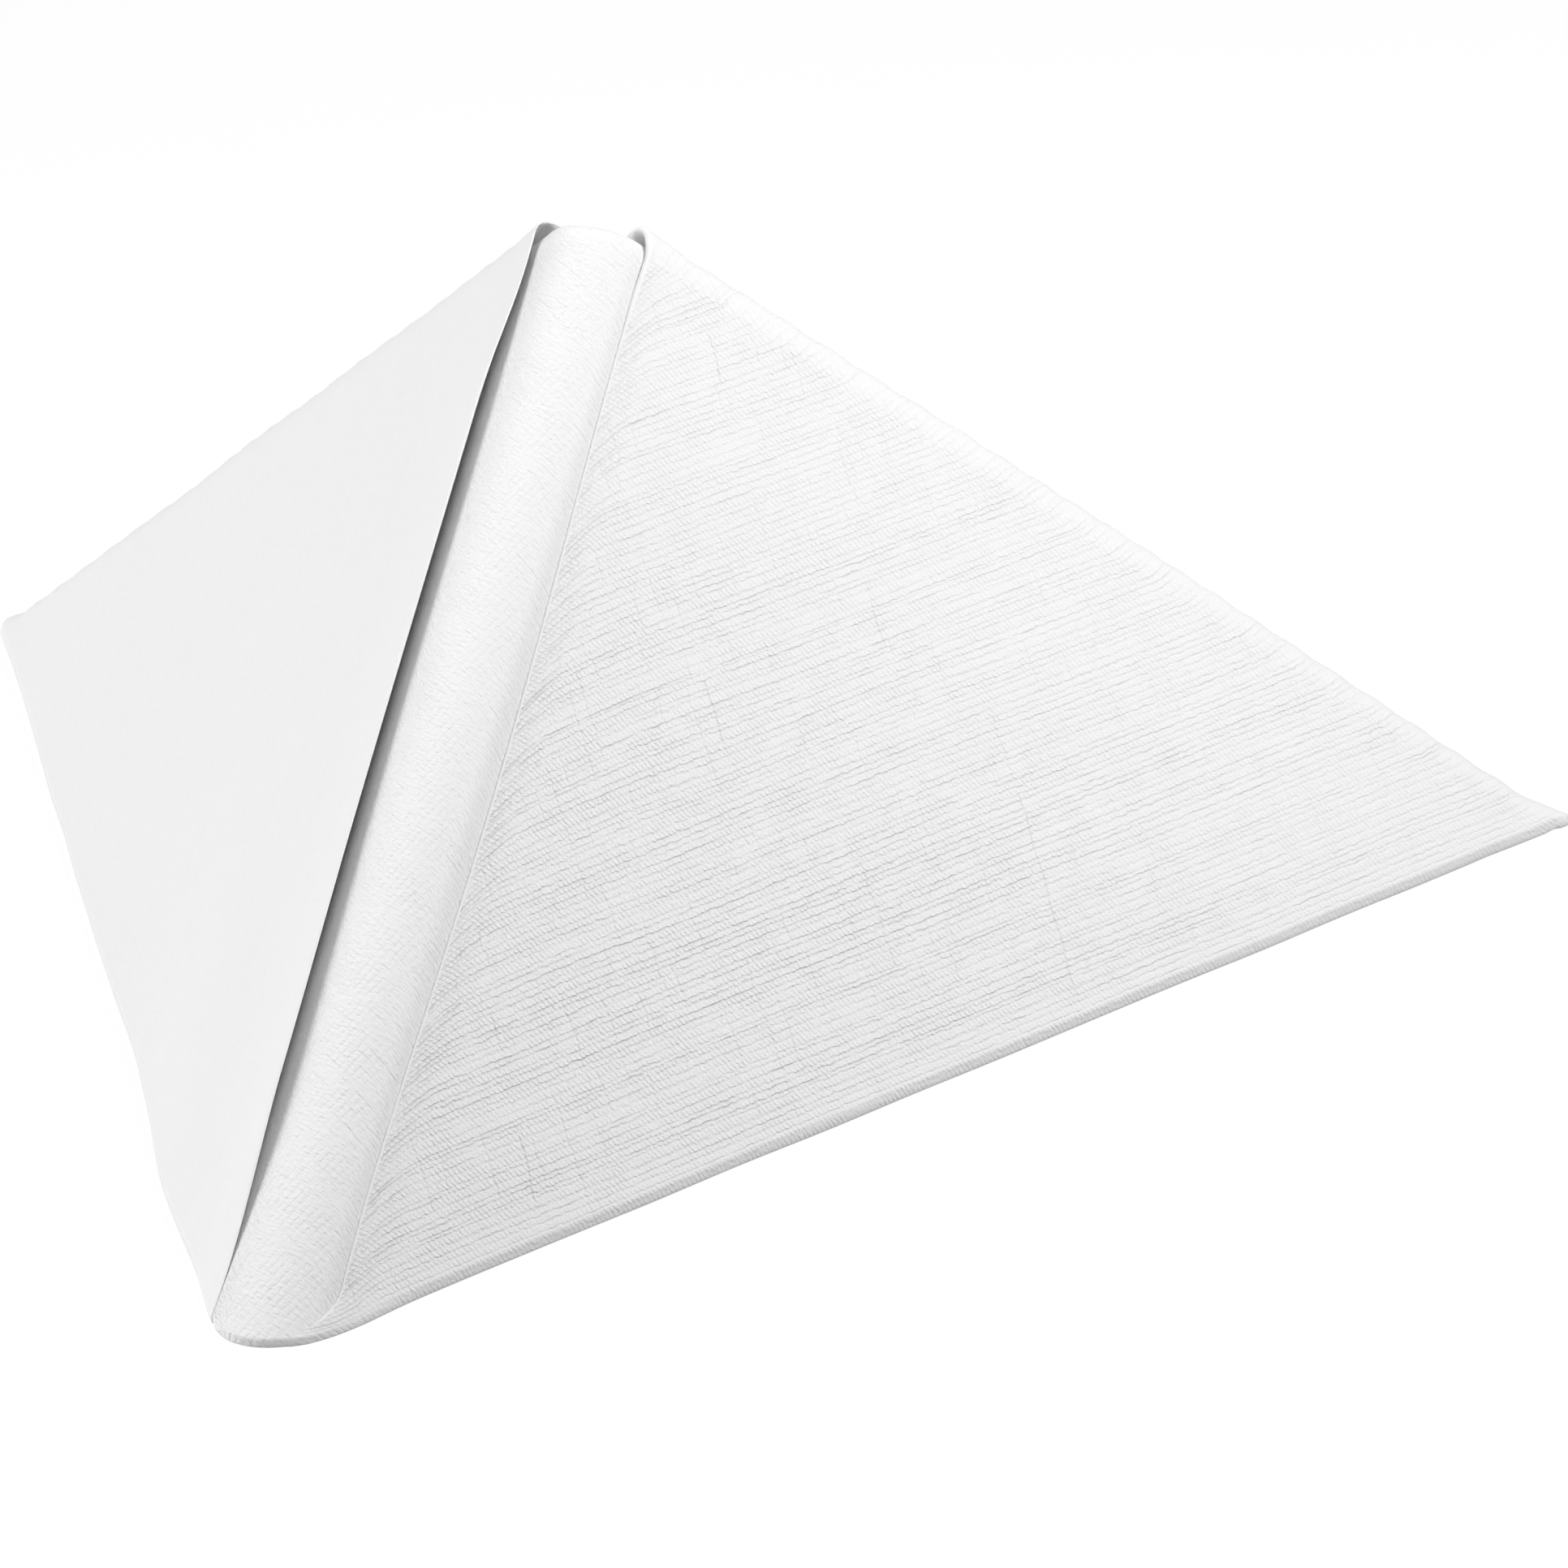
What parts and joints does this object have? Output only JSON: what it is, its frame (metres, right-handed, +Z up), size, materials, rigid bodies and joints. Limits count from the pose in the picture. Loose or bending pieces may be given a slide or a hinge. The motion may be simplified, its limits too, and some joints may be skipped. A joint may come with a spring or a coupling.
{
  "type": "paper napkin",
  "caption": "Folded paper napkin standing as a pyramid tent, with a rounded ridge between lapped flaps and an open back, to set upright on a plate or table.",
  "frame": {"origin": "middle of the tent's footprint, at table level", "axes": "+Z up from the table, the ridge comes down towards -Y, the open back faces +Y, +X is to the right as seen from the ridge"},
  "size_m": [0.18, 0.169, 0.0805],
  "materials": {
    "paper": "matte embossed"
  },
  "bodies": {
    "root": {"napkin": "paper"}
  },
  "joints": []
}
